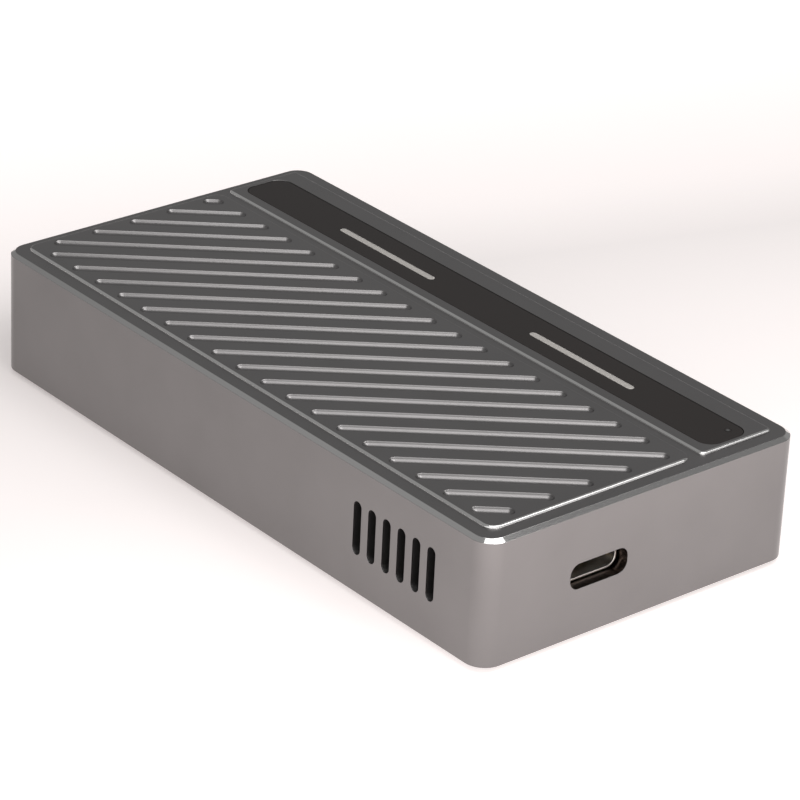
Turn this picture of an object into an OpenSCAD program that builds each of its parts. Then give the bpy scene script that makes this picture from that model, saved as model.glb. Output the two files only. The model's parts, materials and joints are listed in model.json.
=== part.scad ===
// Pocket enclosure for an M.2 solid-state drive: milled metal shell with a grooved top, a dark
// inlay strip, side vents with a small blower behind them, a circuit board and a screwed cover.
// The origin is on the surface it stands on, under the middle; +Y is the back, the port faces -Y.

/* [Body] */
// Length from the front face to the back face
body_l = 104; // [102:0.5:116]
// Width from the left face to the right face
body_w = 52.6; // [51:0.1:64]
// Height from the underside to the rim of the top
body_h = 17.8; // [17.4:0.1:22]
// Radius of the four upright corners
corner_r = 3; // [2.4:0.1:4]
// Thickness of the side walls
wall = 2; // [1.6:0.1:2.4]
// Thickness of the roof at its rim
roof = 1.7; // [1.4:0.1:2]
// How far the bevel round the top reaches in
edge_run = 0.65; // [0.3:0.05:1]
// How far the bevel round the top reaches down
edge_rise = 0.45; // [0.2:0.05:1]

/* [Raised pads] */
// Rim between each side face and the pads
rim_side = 2.6; // [1.6:0.1:3.2]
// Rim between the front face and the pads
rim_front = 2.55; // [1.6:0.05:3.2]
// Rim between the back face and the pads
rim_back = 1.8; // [1.4:0.1:3.2]
// Height of the pads above the rim, also the radius of their rounded edge
pad_rise = 0.32; // [0.2:0.02:0.6]
// Corner radius of the grooved pad
pad_r = 1.7; // [0.8:0.1:2.4]
// Width of the pad that holds the inlay strip
strip_pad_w = 12.3; // [11:0.1:16]
// Corner radius of the strip pad
strip_pad_r = 0.7; // [0.5:0.1:2]
// Width of the channel between the two pads
channel_w = 1.45; // [1:0.05:3]

/* [Grooves] */
// Angle of the grooves from the long side
groove_angle = 50.5; // [40:0.5:60]
// Distance between neighbouring grooves, square across them
groove_pitch = 4.09; // [3.4:0.01:6]
// Width of a groove at its mouth
groove_w = 1.85; // [1.4:0.05:2.4]
// Depth of a groove below the pad
groove_depth = 0.55; // [0.3:0.05:0.8]
// From the left edge of the pad to the end centre of a groove
groove_in_left = 1.9; // [1.6:0.05:3]
// From the right edge of the pad to the end centre of a groove
groove_in_right = 2.35; // [1.6:0.05:3]
// From the front edge of the pad to the end centre of a groove
groove_in_front = 2.35; // [1.6:0.05:4]
// From the back edge of the pad to the end centre of a groove
groove_in_back = 1.8; // [1.6:0.05:4]
// Where the first groove starts on the left, behind the front row of ends
groove_first = 2.36; // [1:0.02:4]

/* [Inlay strip] */
// Width of the strip
strip_w = 7.25; // [5:0.05:8.5]
// Corner radius of the strip
strip_r = 2; // [1:0.1:3]
// Thickness of the strip
strip_t = 0.7; // [0.5:0.05:0.8]
// How far the strip lies below its pad
strip_sunk = 0.05; // [0.02:0.01:0.1]
// Gap round the strip in its pocket
strip_gap = 0.08; // [0.05:0.01:0.15]
// From the inner edge of its pad to the strip
strip_in_side = 1.95; // [1.5:0.05:3]
// From the front edge of its pad to the strip
strip_in_front = 0.9; // [1:0.05:3]
// From the strip to the back edge of its pad
strip_in_back = 0.9; // [0.8:0.05:3]

/* [Port] */
// Width of the opening for the plug
port_w = 9.5; // [9.3:0.1:10.4]
// Height of the opening for the plug
port_h = 3.6; // [3.5:0.05:4.2]
// Corner radius of the opening
port_r = 1.45; // [1:0.05:1.7]
// From the left face to the middle of the port
port_from_left = 18.8; // [17:0.1:20]
// Height of the middle of the port above the underside
port_z = 8.65; // [8.5:0.05:9]
// Width of the receptacle
usb_w = 8.94; // [8.8:0.02:9.1]
// Height of the receptacle
usb_h = 3.26; // [3.1:0.02:3.3]
// Length of the receptacle
usb_l = 7.35; // [6.8:0.05:7.4]
// Corner radius of the receptacle
usb_r = 1.55; // [1.3:0.05:1.6]
// Sheet that the receptacle is folded from
usb_sheet = 0.3; // [0.2:0.02:0.4]
// How far the receptacle lies behind the front face
usb_recess = 1.75; // [1.6:0.05:1.9]
// Width of the tongue in the receptacle
tongue_w = 6.7; // [6:0.1:7]
// Thickness of the tongue
tongue_t = 0.7; // [0.5:0.05:0.9]
// Length of the tongue
tongue_l = 4.4; // [3:0.1:5]
// Block that the tongue grows from
tongue_base = 0.8; // [0.6:0.1:1.2]
// Contacts on each face of the tongue
contact_count = 12; // [8:1:12]
// Spacing of the contacts
contact_pitch = 0.5; // [0.4:0.02:0.52]
// Width of one contact
contact_w = 0.26; // [0.2:0.02:0.3]
// Thickness of one contact
contact_t = 0.1; // [0.06:0.02:0.14]

/* [Vents] */
// Slots in each side wall
vent_count = 6; // [3:1:6]
// Width of a slot
vent_w = 1.55; // [1:0.05:2]
// Height of a slot
vent_h = 7.5; // [5:0.1:8.5]
// Spacing of the slots
vent_pitch = 2.9; // [2.4:0.1:3.2]
// From the front face to the first slot
vent_from_front = 10.3; // [9.8:0.1:12]
// Height of the middle of the slots above the underside
vent_z = 9.1; // [8.6:0.05:9.6]

/* [Cover, screws and feet] */
// Thickness of the bottom cover
cover_t = 1.5; // [1.2:0.1:1.7]
// Width of the step in the wall that the cover lies in
step_w = 0.9; // [0.6:0.1:1.1]
// Gap round the cover
cover_gap = 0.15; // [0.05:0.05:0.25]
// From the outer faces to the cover screws
boss_in = 4; // [3.9:0.1:4.1]
// Radius of the bosses in the corners
boss_r = 2.2; // [2:0.05:2.3]
// Radius of a screw's shank
screw_r = 0.95; // [0.8:0.05:1]
// Gap between a shank and its hole
screw_gap = 0.05; // [0.02:0.01:0.08]
// Radius of a screw's head
head_r = 1.8; // [1.5:0.1:1.9]
// Height of a screw's head
head_h = 0.9; // [0.7:0.05:1.1]
// How deep a cover screw reaches into its boss
cover_screw_l = 5; // [3:0.5:8]
// Length of the driver cross in a head
cross_l = 2.2; // [1.6:0.1:2.4]
// Width of the slots of the driver cross
cross_w = 0.4; // [0.3:0.05:0.5]
// Depth of the driver cross
cross_depth = 0.45; // [0.3:0.05:0.6]
// Diameter of a foot
foot_d = 7; // [5:0.5:8]
// How far a foot stands out below the cover
foot_proud = 0.8; // [0.5:0.1:1.5]
// Bevel round the tread of a foot
foot_bevel = 0.4; // [0.2:0.1:0.5]
// How deep a foot is let into the cover
foot_seat = 0.5; // [0.3:0.1:0.7]
// From the side faces to the middle of a foot
foot_in_side = 7.8; // [7.5:0.1:12]
// From the front and back faces to the middle of a foot
foot_in_end = 11.5; // [11:0.5:20]

/* [Main board] */
// Thickness of the board
board_t = 1; // [0.8:0.1:1.1]
// Gap between the board and the walls
board_gap = 0.5; // [0.3:0.05:0.6]
// Gap between the corner bosses and the notches in the board
notch_gap = 0.2; // [0.1:0.05:0.4]
// Radius of the pillars that the board hangs from
pillar_r = 2; // [1.7:0.1:2.2]
// From the front face to the front pillars
pillar_in_front = 5.8; // [5.4:0.1:6]
// From the left face to the front left pillar
pillar_in_left = 9.8; // [9.4:0.1:10.4]
// From the front face to the front right pillar, beside the drive's socket
pillar_right_in_front = 9.5; // [9:0.5:11]
// Gap between the socket and the head of the screw beside it
pillar_off_socket = 0.2; // [0.1:0.1:0.4]
// From the back face to the rear pillars
pillar_in_back = 11.5; // [10:0.5:14]
// From the side faces to the rear pillars
pillar_in_side = 5.5; // [5.3:0.1:5.6]
// How deep a board screw reaches into its pillar
board_screw_l = 4; // [3:0.5:5]

/* [Status light] */
// Diameter of the light's window in the strip
window_d = 0.8; // [0.5:0.1:1.2]
// Diameter of the light guide under the strip
pipe_d = 1.5; // [1.3:0.1:1.7]
// Gap round the light guide
pipe_gap = 0.03; // [0.02:0.01:0.08]
// From the right edge of the strip to the window
window_in_side = 1.87; // [1.6:0.01:2.4]
// From the front end of the strip to the window
window_in_front = 2.1; // [1.9:0.1:2.6]
// Side of the light emitter
led_w = 1; // [0.8:0.1:1.2]
// Height of the light emitter
led_h = 0.6; // [0.4:0.1:1]
// Air gap between the emitter and the guide
led_air = 0.2; // [0.1:0.05:0.4]

/* [Drive] */
// From the middle of the body to the middle of the drive
ssd_x = 2; // [1.6:0.1:2.2]
// Width of the drive's board
ssd_w = 22; // [21:0.5:22]
// Length of the drive's board
ssd_l = 80; // [78:1:80]
// Thickness of the drive's board
ssd_t = 0.8; // [0.7:0.05:0.9]
// Gap between the drive and the main board
ssd_air = 1.6; // [1.4:0.05:1.7]
// From the back face to the back end of the drive
ssd_in_back = 6; // [5.6:0.1:6.6]
// Thickness of the chips on the drive
ssd_chip_t = 1.2; // [0.9:0.05:1.3]
// Length of a memory chip
nand_l = 18; // [14:1:19]
// Width of a memory chip
nand_w = 14; // [12:1:18]
// Side of the drive's controller
ctrl_w = 13; // [10:1:14]
// Length of the buffer memory chip
dram_l = 8; // [6:1:9]
// Width of the buffer memory chip
dram_w = 11; // [8:1:13]
// Space between the chips on the drive
chip_step = 3; // [2:0.25:3.5]
// Radius of the notch in the back end of the drive
ssd_notch_r = 1.75; // [1.6:0.05:1.8]
// Radius of the standoff's flange
standoff_r = 2.7; // [2.4:0.1:2.8]
// Gap between the standoff's neck and the notch
neck_gap = 0.1; // [0.05:0.05:0.15]
// Radius of the head of the drive's screw
ssd_head_r = 2.3; // [2.1:0.1:2.5]
// Height of the head of the drive's screw
ssd_head_h = 0.7; // [0.5:0.1:0.9]
// Depth of the socket from front to back
socket_l = 8.4; // [7.6:0.1:8.6]
// Height of the socket below the main board
socket_h = 3.2; // [3:0.05:3.4]
// Wall at the ends of the socket's slot
socket_wall = 0.6; // [0.4:0.1:0.8]
// How far the drive reaches into the socket
socket_grip = 4.2; // [3.6:0.1:4.4]
// Gap round the drive in the socket
socket_gap = 0.05; // [0.03:0.01:0.1]
// Solder tails on the socket
tail_count = 33; // [20:1:33]
// Spacing of the tails
tail_pitch = 0.6; // [0.5:0.02:0.62]
// Width of a tail
tail_w = 0.28; // [0.2:0.02:0.3]
// Length of a tail
tail_l = 1.1; // [0.8:0.1:1.4]
// Thickness of a tail
tail_t = 0.2; // [0.1:0.05:0.3]

/* [Board parts] */
// Side of the bridge chip
bridge_w = 10; // [8:0.5:11]
// Height of the bridge chip
bridge_h = 0.9; // [0.7:0.1:1.2]
// Radius of the dimple that marks a chip's first corner
dimple_r = 0.4; // [0.2:0.05:0.5]
// Depth of the dimple
dimple_depth = 0.15; // [0.1:0.05:0.3]
// From a chip's edges to the middle of the dimple
dimple_in = 1.1; // [0.8:0.1:1.5]
// From the front face to the middle of the bridge chip
bridge_in_front = 21; // [20.5:0.5:24]
// Side of the block under the roof that takes the chip's heat
heat_w = 11; // [10:0.5:12]
// Thickness of the heat pad between chip and block
heat_pad_t = 0.8; // [0.5:0.1:1.2]
// Side of a power inductor
coil_w = 6; // [5:0.5:7]
// Height of a power inductor
coil_h = 3; // [2:0.5:4]
// Corner radius of a power inductor
coil_r = 0.8; // [0.4:0.1:1.2]
// Length of the firmware memory
flash_l = 6; // [5:0.5:6.5]
// Width of the firmware memory
flash_w = 5; // [4:0.5:6]
// Height of the firmware memory
flash_h = 0.8; // [0.6:0.1:1.2]
// Length of the crystal
crystal_l = 3.2; // [2.5:0.1:3.4]
// Width of the crystal
crystal_w = 2.5; // [2:0.1:3]
// Height of the crystal
crystal_h = 0.7; // [0.5:0.1:1]
// Corner radius of the crystal
crystal_r = 0.3; // [0.2:0.1:0.6]
// Length of a capacitor
cap_l = 2; // [1.6:0.1:2.4]
// Width of a capacitor
cap_w = 1.25; // [1:0.05:1.5]
// Height of a capacitor
cap_h = 1.1; // [0.8:0.1:1.4]
// Capacitors in the row
cap_count = 5; // [3:1:5]
// Spacing of the capacitors
cap_step = 2.5; // [2:0.1:2.6]
// Spacing between the parts along the right of the board
part_step = 4; // [3:0.5:4.5]
// Width of the blower's connector
header_w = 5; // [4:0.5:6]
// Depth of the blower's connector
header_l = 3.6; // [3:0.2:4]
// Height of the blower's connector
header_h = 3; // [2.4:0.2:4]
// Wall of the blower's connector
header_wall = 0.6; // [0.4:0.1:0.8]
// Pins of the blower's connector
header_pins = 3; // [2:1:3]
// Side of one pin
pin_w = 0.4; // [0.3:0.05:0.5]
// Spacing of the pins
pin_pitch = 1.25; // [1:0.05:1.3]

/* [Blower] */
// Side of the blower's square case
blower_w = 30; // [28:0.5:30]
// Air gap between the blower's inlet and the roof
inlet_air = 1.1; // [0.9:0.1:1.3]
// Thickness of the blower's base, lid and wall
blower_wall = 0.8; // [0.6:0.05:0.9]
// Corner radius of the blower's case
blower_r = 1; // [0.5:0.5:2]
// Gap between the blower and the side wall
blower_gap = 0.3; // [0.2:0.05:0.4]
// From the front face to the blower
blower_from_front = 9.5; // [9.4:0.1:9.8]
// Height of the spacers under the blower
spacer_h = 1; // [0.8:0.05:1.2]
// Radius of a spacer and of the ear on it
ear_r = 2.2; // [2:0.1:2.3]
// Thickness of an ear
ear_t = 1.6; // [1.2:0.1:2]
// From the case's edge to the middle of an ear
ear_out = 2.2; // [2:0.1:2.3]
// From the case's corner to the middle of an ear
ear_in = 2.2; // [2.2:0.1:2.8]
// Radius of a spacer's shank in the board
spacer_shank_r = 1.4; // [1.3:0.05:1.5]
// Radius of the air inlet in the lid
inlet_r = 9; // [7:0.5:10]
// Radius of the impeller
wheel_r = 10.8; // [10:0.1:11]
// Smallest gap between the impeller and the scroll
scroll_gap = 0.6; // [0.4:0.1:0.8]
// How much the scroll grows in each quarter turn
scroll_growth = 0.9; // [0.6:0.05:0.9]
// Angle of each straight piece that the scroll's curve is made of
scroll_step = 7.5; // [5:2.5:15]
// Number of blades
blade_count = 19; // [11:2:23]
// Thickness of a blade
blade_t = 0.6; // [0.5:0.05:0.8]
// Length of a blade, measured outwards
blade_span = 3.6; // [3:0.1:3.8]
// Angle that a blade's tip leans ahead of its root
blade_lean = 14; // [6:1:20]
// Straight pieces that one blade's curve is made of
blade_steps = 4; // [3:1:8]
// Radius of the impeller's hub
hub_r = 6.6; // [6:0.1:6.8]
// Thickness of the hub's skirt, top and base ring
hub_t = 0.6; // [0.5:0.05:0.7]
// Air above and below the impeller
wheel_air = 0.4; // [0.3:0.05:0.5]
// Radial thickness of the ring magnet
magnet_t = 1; // [0.8:0.1:1.1]
// Gap between the magnet and the stator
stator_gap = 0.4; // [0.3:0.05:0.5]
// Thickness of the stator's core
core_t = 1.2; // [0.8:0.1:1.6]
// Width of one stator arm
arm_w = 1.4; // [1:0.1:1.6]
// Thickness of the curved shoes at the ends of the arms
shoe_t = 0.5; // [0.4:0.1:0.6]
// Width of the slots between the shoes
shoe_slot = 1.6; // [1.2:0.1:2]
// Radial thickness of the core's middle ring
core_ring_t = 0.5; // [0.3:0.1:0.6]
// Thickness of the winding round an arm
winding_t = 0.5; // [0.3:0.05:0.5]
// Gap between a winding and the ring and shoes
winding_gap = 0.05; // [0.02:0.01:0.08]
// Radius of the shaft
shaft_r = 0.75; // [0.6:0.05:0.8]
// Running gap between shaft and bearing
shaft_gap = 0.03; // [0.02:0.01:0.06]
// Outer radius of the bearing
bearing_r = 1.5; // [1.4:0.05:1.6]
// Outer radius of the tube that holds the bearing
tube_r = 2.2; // [2.1:0.05:2.3]

/* [Hidden] */
$fn = 48;

// how far cutters reach past a face, and how far joined pieces sink into each other
over = 0.5;

// faces of the body, measured from the middle, and levels above the underside
left = -body_w / 2;
right = body_w / 2;
front = -body_l / 2;
back = body_l / 2;
ceiling = body_h - roof;
pad_top = body_h + pad_rise;

// the two pads
pad_left = left + rim_side;
pad_front = front + rim_front;
pad_back = back - rim_back;
strip_pad_right = right - rim_side;
strip_pad_left = strip_pad_right - strip_pad_w;
pad_right = strip_pad_left - channel_w;

// the grooves: end centres lie in this box, and each groove falls towards the front as it goes right
groove_left = pad_left + groove_in_left;
groove_right = pad_right - groove_in_right;
groove_front = pad_front + groove_in_front;
groove_back = pad_back - groove_in_back;
groove_slope = 1 / tan(groove_angle);
groove_step = groove_pitch / sin(groove_angle);
groove_r = (groove_w * groove_w / 4 + groove_depth * groove_depth) / (2 * groove_depth);
groove_count = 1 + floor((groove_back - groove_front - groove_first
    + (groove_right - groove_left) * groove_slope) / groove_step);

// the inlay strip
strip_left = strip_pad_left + strip_in_side;
strip_right = strip_left + strip_w;
strip_front = pad_front + strip_in_front;
strip_back = pad_back - strip_in_back;
strip_l = strip_back - strip_front;
strip_x = (strip_left + strip_right) / 2;
strip_y = (strip_front + strip_back) / 2;
strip_top = pad_top - strip_sunk;
strip_floor = strip_top - strip_t;

// the cover and the bosses in the corners
cover_in = wall - step_w + cover_gap;
boss_x = right - boss_in;
boss_y = back - boss_in;
foot_x = right - foot_in_side;
foot_y = back - foot_in_end;

// the stack of boards, as heights above the underside
port_x = left + port_from_left;
board_top = port_z - usb_h / 2;
board_bottom = board_top - board_t;
ssd_top = board_bottom - ssd_air;
ssd_bottom = ssd_top - ssd_t;
ssd_chip_bottom = ssd_bottom - ssd_chip_t;

// the main board
board_w = body_w - 2 * wall - 2 * board_gap;
board_l = body_l - 2 * wall - 2 * board_gap;
notch_x = boss_x - boss_r - notch_gap;
notch_y = boss_y - boss_r - notch_gap;
usb_front = front + usb_recess;
pillars = [[left + pillar_in_left, front + pillar_in_front],
    [ssd_x + ssd_w / 2 + socket_wall + pillar_off_socket + head_r, front + pillar_right_in_front],
    [left + pillar_in_side, back - pillar_in_back],
    [right - pillar_in_side, back - pillar_in_back]];

// the status light
window_x = strip_right - window_in_side;
window_y = strip_front + window_in_front;
pipe_bottom = board_top + led_h + led_air;

// the drive lies under the board, behind the port
ssd_back = back - ssd_in_back;
ssd_front = ssd_back - ssd_l;
socket_back = ssd_front + socket_grip;
socket_front = socket_back - socket_l;
ctrl_y = socket_back + chip_step + ctrl_w / 2;
dram_y = ctrl_y + ctrl_w / 2 + chip_step + dram_l / 2;
nand_1_y = dram_y + dram_l / 2 + chip_step + nand_l / 2;
nand_2_y = nand_1_y + nand_l + chip_step;
heat_front = ctrl_y - ctrl_w / 2;
heat_back = nand_2_y + nand_l / 2;

// parts along the right of the board, one behind another, midway between the blower and the wall
fan_left = left + wall + blower_gap;
bridge_x = (fan_left + blower_w + right - wall) / 2;
bridge_y = front + bridge_in_front;
heat_bottom = board_top + bridge_h + heat_pad_t;
header_y = bridge_y + bridge_w / 2 + part_step + header_l / 2;
flash_y = header_y + header_l / 2 + part_step + flash_l / 2;
crystal_y = flash_y + flash_l / 2 + part_step + crystal_l / 2;
coil_1_y = crystal_y + crystal_l / 2 + part_step + coil_w / 2;
coil_2_y = coil_1_y + coil_w + part_step;
cap_y = coil_2_y + coil_w / 2 + part_step;

// the blower: its middle and its levels
fan_x = fan_left + blower_w / 2;
fan_front = front + blower_from_front;
fan_y = fan_front + blower_w / 2;
fan_z = board_top + spacer_h;
blower_h = ceiling - inlet_air - fan_z;
fan_floor = fan_z + blower_wall;
fan_lid = fan_z + blower_h - blower_wall;
scroll_r = wheel_r + scroll_gap;
ears = [[fan_left + ear_in, fan_front + blower_w + ear_out, 90],
    [fan_left + blower_w + ear_out, fan_front + ear_in, 0]];
wheel_bottom = fan_floor + wheel_air;
wheel_top = fan_lid - wheel_air;
blade_root = wheel_r - blade_span;
stator_r = hub_r - hub_t - magnet_t - stator_gap;
shaft_bottom = fan_floor + shaft_gap;
bearing_top = wheel_top - hub_t - wheel_air;
core_z = (fan_floor + bearing_top) / 2;
core_ring_r = tube_r + core_ring_t;
shoe_inner_r = stator_r - shoe_t;
winding_half = arm_w / 2 + winding_t;
winding_inner = core_ring_r + winding_gap;
winding_outer = sqrt(pow(shoe_inner_r - winding_gap, 2) - pow(winding_half, 2));

// everything is drawn from the underside of the body and lifted onto the feet
module lifted() {
    translate([0, 0, foot_proud]) children();
}

// one child in each corner of a rectangle, by half its width and length
module at_corners(x, y) {
    for (sx = [-1, 1], sy = [-1, 1]) translate([sx * x, sy * y, 0]) children();
}

// box with upright round corners, centred on the origin, standing on z = 0
module round_box(w, l, h, r) {
    translate([-w / 2 + r, -l / 2, 0]) cube([w - 2 * r, l, h]);
    translate([-w / 2, -l / 2 + r, 0]) cube([w, l - 2 * r, h]);
    at_corners(w / 2 - r, l / 2 - r) cylinder(r = r, h = h);
}

// bevelled profile of a block, w wide and h high, the bevel run in and rise down
module bevel_profile(w, h, run, rise) {
    polygon([[-w / 2, 0], [w / 2, 0], [w / 2, h - rise], [w / 2 - run, h],
        [run - w / 2, h], [-w / 2, h - rise]]);
}

// round_box whose top edge is bevelled all the way round
module bevel_box(w, l, h, r, run, rise) {
    translate([0, l / 2 - r, 0]) rotate([90, 0, 0])
        linear_extrude(l - 2 * r) bevel_profile(w, h, run, rise);
    translate([r - w / 2, 0, 0]) rotate([90, 0, 90])
        linear_extrude(w - 2 * r) bevel_profile(l, h, run, rise);
    at_corners(w / 2 - r, l / 2 - r) {
        cylinder(r = r, h = h - rise);
        translate([0, 0, h - rise]) cylinder(r1 = r, r2 = r - run, h = rise);
    }
}

// profile of a block, w wide and h high, its top corners rounded to f
module soft_profile(w, h, f) {
    translate([-w / 2, 0]) square([w, h - f]);
    translate([f - w / 2, 0]) square([w - 2 * f, h]);
    for (side = [-1, 1]) translate([side * (w / 2 - f), h - f]) circle(r = f);
}

// round_box whose top edge is rounded to f all the way round
module soft_box(w, l, h, r, f) {
    translate([0, l / 2 - r, 0]) rotate([90, 0, 0]) linear_extrude(l - 2 * r) soft_profile(w, h, f);
    translate([r - w / 2, 0, 0]) rotate([90, 0, 90]) linear_extrude(w - 2 * r) soft_profile(l, h, f);
    at_corners(w / 2 - r, l / 2 - r) rotate_extrude() intersection() {
        soft_profile(2 * r, h, f);
        square([r, h]);
    }
}

// slot with round ends standing along z, w wide, h high, cut along x
module upright_slot(w, h, depth) {
    rotate([90, 0, 90]) linear_extrude(depth, center = true) {
        square([w, h - w], center = true);
        for (s = [-1, 1]) translate([0, s * (h - w) / 2]) circle(d = w);
    }
}

// rounded rectangle drawn flat
module round_rect(w, h, r) {
    square([w - 2 * r, h], center = true);
    square([w, h - 2 * r], center = true);
    for (sx = [-1, 1], sy = [-1, 1])
        translate([sx * (w / 2 - r), sy * (h / 2 - r)]) circle(r = r);
}

// half of a groove's section: the arc that a ball-ended cutter leaves
module groove_half() {
    intersection() {
        translate([0, groove_r - groove_depth]) circle(r = groove_r);
        translate([0, -groove_depth - over]) square([groove_r, groove_depth + 2 * over]);
    }
}

// cutter for one groove of the given length, its right end at the origin, running to -x
module groove_cut(run) {
    rotate_extrude() groove_half();
    translate([-run, 0, 0]) rotate_extrude() groove_half();
    for (side = [0, 1]) mirror([0, side, 0]) rotate([90, 0, -90])
        linear_extrude(run) groove_half();
}

// all grooves, each cut off by the box that the end centres lie in
module grooves() {
    for (i = [0 : groove_count - 1]) {
        start_y = groove_front + groove_first + i * groove_step;
        x0 = groove_left + max(0, start_y - groove_back) / groove_slope;
        y0 = min(start_y, groove_back);
        x1 = min(groove_right, groove_left + (start_y - groove_front) / groove_slope);
        y1 = start_y - (x1 - groove_left) * groove_slope;
        run = (x1 - x0) / sin(groove_angle);
        if (run > groove_w / 4)
            translate([x1, y1, pad_top]) rotate([0, 0, groove_angle - 90]) groove_cut(run);
    }
}

module vents() {
    for (side = [left, right], i = [0 : vent_count - 1])
        translate([side, front + vent_from_front + i * vent_pitch, vent_z])
            upright_slot(vent_w, vent_h, 2 * (wall + over));
}

// unibody shell: bevelled block, hollow from below, with pads, bosses, pillars and a heat block
module top_shell() {
    color("dimgray") lifted() difference() {
        union() {
            difference() {
                union() {
                    bevel_box(body_w, body_l, body_h, corner_r, edge_run, edge_rise);
                    translate([(pad_left + pad_right) / 2, (pad_front + pad_back) / 2, ceiling])
                        soft_box(pad_right - pad_left, pad_back - pad_front, pad_top - ceiling,
                            pad_r, pad_rise);
                    translate([(strip_pad_left + strip_pad_right) / 2,
                        (pad_front + pad_back) / 2, ceiling])
                        soft_box(strip_pad_w, pad_back - pad_front, pad_top - ceiling,
                            strip_pad_r, pad_rise);
                }
                translate([0, 0, -over]) round_box(body_w - 2 * wall, body_l - 2 * wall,
                    ceiling + over, corner_r - wall);
                translate([0, 0, -over]) round_box(body_w - 2 * (wall - step_w),
                    body_l - 2 * (wall - step_w), cover_t + over, corner_r - wall + step_w);
            }
            at_corners(boss_x, boss_y) translate([0, 0, cover_t])
                cylinder(r = boss_r, h = ceiling - cover_t + over);
            for (p = pillars) translate([p[0], p[1], board_top])
                cylinder(r = pillar_r, h = ceiling - board_top + over);
            translate([bridge_x - heat_w / 2, bridge_y - heat_w / 2, heat_bottom])
                cube([heat_w, heat_w, ceiling - heat_bottom + over]);
        }
        at_corners(boss_x, boss_y)
            cylinder(r = screw_r + screw_gap, h = cover_t + cover_screw_l + over);
        for (p = pillars) translate([p[0], p[1], board_top - over])
            cylinder(r = screw_r + screw_gap, h = board_screw_l + 2 * over);
        grooves();
        translate([strip_x, strip_y, strip_floor]) round_box(strip_w + 2 * strip_gap,
            strip_l + 2 * strip_gap, strip_t + strip_sunk + over, strip_r + strip_gap);
        vents();
        translate([port_x, front, port_z]) rotate([90, 0, 0])
            linear_extrude(2 * (wall + over), center = true) round_rect(port_w, port_h, port_r);
        translate([window_x, window_y, board_top])
            cylinder(d = pipe_d + 2 * pipe_gap, h = strip_floor - board_top + over);
    }
}

// dark strip let into the top, with the small window of the status light
module inlay_strip() {
    color("#322f2c") lifted() difference() {
        translate([strip_x, strip_y, strip_floor]) round_box(strip_w, strip_l, strip_t, strip_r);
        translate([window_x, window_y, strip_floor - over])
            cylinder(d = window_d + 2 * pipe_gap, h = strip_t + 2 * over);
    }
}

// countersunk screw, its head's flat face on z = 0 and its shank upwards
module countersunk_screw(l) {
    difference() {
        union() {
            cylinder(r1 = head_r, r2 = screw_r, h = head_h);
            cylinder(r = screw_r, h = l);
        }
        driver_cross();
    }
}

// cross recess that opens downwards on z = 0
module driver_cross() {
    for (a = [0, 90]) rotate([0, 0, a])
        translate([-cross_l / 2, -cross_w / 2, -over]) cube([cross_l, cross_w, cross_depth + over]);
}

// flat-topped screw whose head hangs below z = 0, with its shank upwards
module cylinder_head_screw(r, h, l) {
    difference() {
        union() {
            translate([0, 0, -h]) cylinder(r = r, h = h);
            cylinder(r = screw_r, h = l);
        }
        translate([0, 0, -h]) driver_cross();
    }
}

module bottom_cover() {
    color("dimgray") lifted() difference() {
        round_box(body_w - 2 * cover_in, body_l - 2 * cover_in, cover_t,
            corner_r - wall + step_w - cover_gap);
        at_corners(boss_x, boss_y) {
            translate([0, 0, -over]) cylinder(r = screw_r + screw_gap, h = cover_t + 2 * over);
            cylinder(r1 = head_r + screw_gap, r2 = screw_r + screw_gap, h = head_h);
            translate([0, 0, -over]) cylinder(r = head_r + screw_gap, h = over);
        }
        at_corners(foot_x, foot_y) translate([0, 0, -over])
            cylinder(d = foot_d + 2 * cover_gap, h = foot_seat + over);
    }
}

module cover_screws() {
    color("silver") lifted() at_corners(boss_x, boss_y)
        countersunk_screw(cover_t + cover_screw_l);
}

// soft round foot with a bevelled tread
module foot(sx, sy) {
    color("#202020") translate([sx * foot_x, sy * foot_y, 0]) {
        cylinder(d1 = foot_d - 2 * foot_bevel, d2 = foot_d, h = foot_bevel);
        translate([0, 0, foot_bevel]) cylinder(d = foot_d, h = foot_proud + foot_seat - foot_bevel);
    }
}

module foot_front_left() { foot(-1, -1); }

module foot_front_right() { foot(1, -1); }

module foot_back_left() { foot(-1, 1); }

module foot_back_right() { foot(1, 1); }

// clear guide that carries the light from the board to the window
module light_guide() {
    color("white") lifted() translate([window_x, window_y, 0]) {
        translate([0, 0, pipe_bottom]) cylinder(d = pipe_d, h = strip_floor - pipe_bottom);
        translate([0, 0, strip_floor]) cylinder(d = window_d, h = strip_t);
    }
}

module status_led() {
    color("ivory") lifted() translate([window_x - led_w / 2, window_y - led_w / 2, board_top])
        cube([led_w, led_w, led_h]);
}

module main_board() {
    color("#1d3a2b") lifted() difference() {
        translate([-board_w / 2, -board_l / 2, board_bottom]) cube([board_w, board_l, board_t]);
        for (sx = [-1, 1], sy = [-1, 1])
            translate([sx > 0 ? notch_x : -notch_x - boss_in - boss_r,
                sy > 0 ? notch_y : -notch_y - boss_in - boss_r, board_bottom - over])
                cube([boss_in + boss_r, boss_in + boss_r, board_t + 2 * over]);
        for (p = pillars) translate([p[0], p[1], board_bottom - over])
            cylinder(r = screw_r + screw_gap, h = board_t + 2 * over);
        for (e = ears) translate([e[0], e[1], board_bottom - over])
            cylinder(r = spacer_shank_r + screw_gap, h = board_t + 2 * over);
        translate([ssd_x, ssd_back, board_bottom - over])
            cylinder(r = spacer_shank_r + screw_gap, h = board_t + 2 * over);
    }
}

module board_screws() {
    color("silver") lifted() for (p = pillars) translate([p[0], p[1], board_bottom])
        cylinder_head_screw(head_r, head_h, board_t + board_screw_l);
}

// the opening inside the receptacle's sheet
module usb_mouth() {
    round_rect(usb_w - 2 * usb_sheet, usb_h - 2 * usb_sheet, usb_r - usb_sheet);
}

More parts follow.
